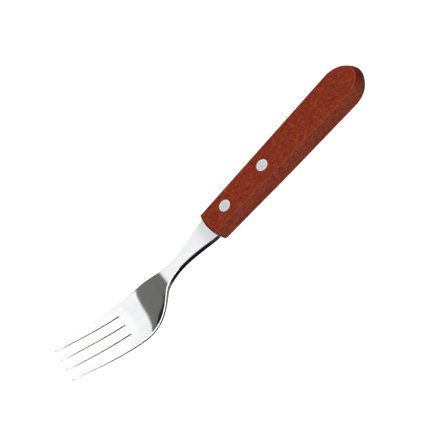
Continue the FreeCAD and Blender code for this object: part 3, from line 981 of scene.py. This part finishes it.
def floor_material():
    m = Nodes("pale_floor")
    b = m.bsdf
    tint = m.noise(m.scaled(3, 3, 3), 1.0, 2.0, 0.5)
    m.link(m.mix(tint, (0.94, 0.94, 0.94, 1), (0.95, 0.95, 0.95, 1)), b.inputs["Base Color"])
    b.inputs["Roughness"].default_value = 0.9
    b.inputs["Specular IOR Level"].default_value = 0.0
    b.inputs["Emission Color"].default_value = (1, 1, 1, 1)
    b.inputs["Emission Strength"].default_value = 0.85
    return m.mat


# ---------------------------------------------------------------------------
# Assemble
# ---------------------------------------------------------------------------
steel = build_blank()
steel.data.materials.clear()
steel.data.materials.append(steel_material())
finish_piece(steel, "fork_blank")

wood = build_handle()
wood.data.materials.clear()
wood.data.materials.append(wood_material())
finish_piece(wood, "handle")

for label, y in (("front", RIVET_Y[0]), ("rear", RIVET_Y[1])):
    mat = rivet_material(label + "_rivet_metal", y)
    for part, make in (("pin", build_pin), ("tube", build_tube)):
        ob = make("%s_rivet_%s_body" % (label, part), y)
        ob.data.materials.append(mat)
        finish_piece(ob, "%s_rivet_%s" % (label, part))

# ---------------------------------------------------------------------------
# Stage, light and camera
# ---------------------------------------------------------------------------
me = bpy.data.meshes.new("floor")
s = 2.5
me.from_pydata([(-s, -s, -0.00002), (s, -s, -0.00002), (s, s, -0.00002), (-s, s, -0.00002)], [], [(0, 1, 2, 3)])
floor = bpy.data.objects.new("floor", me)
floor.data.materials.append(floor_material())
bpy.context.scene.collection.objects.link(floor)
floor.visible_glossy = False
floor.visible_diffuse = False
floor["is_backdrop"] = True

world = bpy.data.worlds.new("studio")
bpy.context.scene.world = world
world.use_nodes = True
wt = world.node_tree
wt.nodes.clear()
wout = wt.nodes.new("ShaderNodeOutputWorld")
bg = wt.nodes.new("ShaderNodeBackground")
wt.links.new(bg.outputs[0], wout.inputs[0])
tc = wt.nodes.new("ShaderNodeTexCoord")
sepw = wt.nodes.new("ShaderNodeSeparateXYZ")
wt.links.new(tc.outputs["Generated"], sepw.inputs[0])


def wmap(v, a, b, c, d, smooth=True):
    n = wt.nodes.new("ShaderNodeMapRange")
    n.interpolation_type = "SMOOTHSTEP" if smooth else "LINEAR"
    wt.links.new(v, n.inputs["Value"])
    for k, x in (("From Min", a), ("From Max", b), ("To Min", c), ("To Max", d)):
        n.inputs[k].default_value = x
    return n.outputs[0]


def wmath(op, a, b):
    n = wt.nodes.new("ShaderNodeMath")
    n.operation = op
    for i, v in enumerate((a, b)):
        if isinstance(v, (int, float)):
            n.inputs[i].default_value = v
        else:
            wt.links.new(v, n.inputs[i])
    return n.outputs[0]


def wmix(fac, a, b):
    n = wt.nodes.new("ShaderNodeMix")
    n.data_type = "RGBA"
    wt.links.new(fac, n.inputs[0])
    for i, v in ((6, a), (7, b)):
        if isinstance(v, tuple):
            n.inputs[i].default_value = v
        else:
            wt.links.new(v, n.inputs[i])
    return n.outputs[2]


DX, DY, DZ = sepw.outputs[0], sepw.outputs[1], sepw.outputs[2]
WHITE = (1.12, 1.12, 1.115, 1)
PALE = (1.005, 1.012, 1.035, 1)
SIDE = (0.40, 0.40, 0.395, 1)
CARD = (0.168, 0.168, 0.156, 1)
BLACK = (0.008, 0.008, 0.008, 1)
# a white tent, a little duller overhead and grey towards the viewer's side
band = wmath("MULTIPLY", wmap(DY, -0.37, -0.30, 0.0, 1.0), wmap(DY, 0.26, 0.36, 1.0, 0.0))
sky = wmix(band, WHITE, PALE)
facing = wmath("ADD", wmath("ADD", wmath("MULTIPLY", DX, 0.62), wmath("MULTIPLY", DY, 0.22)), wmath("MULTIPLY", DZ, 0.75))
sky = wmix(wmath("MULTIPLY", wmap(facing, 0.35, 0.65, 0.0, 1.0), wmap(DX, -0.15, 0.15, 0.0, 1.0)), sky, SIDE)
# a grey card beyond the tines that comes round to the left side
left = wmap(DX, -0.10, 0.10, 1.0, 0.0)
slant = wmath("ADD", DY, wmath("MULTIPLY", DX, 0.65))
card = wmath("MULTIPLY", wmap(slant, -0.790, -0.690, 1.0, 0.0), left)
sky = wmix(card, sky, CARD)
ahead = wmath("MULTIPLY", wmap(DY, -0.48, -0.36, 1.0, 0.0), wmap(DX, -0.30, -0.18, 0.0, 1.0))
sky = wmix(ahead, sky, (0.28, 0.28, 0.27, 1))
# a black flag low on the left, and a dark base all round
flag = wmath("MULTIPLY", wmath("MULTIPLY", wmap(DX, -0.74, -0.69, 1.0, 0.0), wmap(DZ, 0.38, 0.46, 1.0, 0.0)), wmap(DY, -0.42, -0.36, 1.0, 0.0))
low = wmath("MAXIMUM", wmath("MULTIPLY", wmap(DZ, 0.12, 0.24, 1.0, 0.0), left), wmap(DX, -0.92, -0.86, 1.0, 0.0))
sky = wmix(wmath("MAXIMUM", flag, low), sky, BLACK)
base = wmix(wmap(DY, 0.08, 0.34, 0.0, 1.0), BLACK, (0.20, 0.20, 0.20, 1))
base = wmix(wmap(DY, -0.60, -0.46, 1.0, 0.0), base, (0.07, 0.07, 0.07, 1))
sky = wmix(wmap(DZ, -0.08, 0.02, 1.0, 0.0), sky, base)
wt.links.new(sky, bg.inputs["Color"])
bg.inputs["Strength"].default_value = 1.0



def panel(name, loc, size, power, glossy=0.0):
    """A soft square light facing the middle of the part."""
    ld = bpy.data.lights.new(name, "AREA")
    ld.shape = "SQUARE"
    ld.size = size
    ld.energy = power
    ld.specular_factor = glossy
    lo = bpy.data.objects.new(name, ld)
    bpy.context.scene.collection.objects.link(lo)
    lo.location = loc
    lo.rotation_euler = (Vector((0, 0.02, 0.008)) - Vector(loc)).to_track_quat("-Z", "Y").to_euler()
    return lo


panel("side_light", (0.82, 0.02, 0.52), 0.5, 3.6)

cam_data = bpy.data.cameras.new("camera")
cam = bpy.data.objects.new("camera", cam_data)
bpy.context.scene.collection.objects.link(cam)
cam_data.sensor_width = 36.0
cam_data.lens = 1119.676 / 430.0 * 36.0
# rows of the rotation from the object to the view: right, down, forward
ROT = (2.6112, 1.0984, -1.0345)
TR = (-3.6517, 4.5655, 543.6933)
angle = math.sqrt(sum(v * v for v in ROT))
Rm = Matrix.Rotation(angle, 3, Vector(ROT) / angle)
centre = -(Rm.transposed() @ Vector(TR))
right_v, down_v, fwd_v = Rm[0], Rm[1], Rm[2]
loc = P(centre.x, centre.y, centre.z - 0.30)
mw = Matrix((
    (right_v[0], -down_v[0], -fwd_v[0], loc.x),
    (right_v[1], -down_v[1], -fwd_v[1], loc.y),
    (right_v[2], -down_v[2], -fwd_v[2], loc.z),
    (0, 0, 0, 1)))
cam.matrix_world = mw
cam_data.clip_start = 0.01
cam_data.clip_end = 20.0
bpy.context.scene.camera = cam
bpy.context.scene.view_settings.view_transform = "Standard"

bpy.context.view_layer.update()
NEW_LO, NEW_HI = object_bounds()
({"cad": [list(map(float, CAD_BOX[0])), list(map(float, CAD_BOX[1]))],
           "visual": [[float(v) for v in NEW_LO], [float(v) for v in NEW_HI]]})
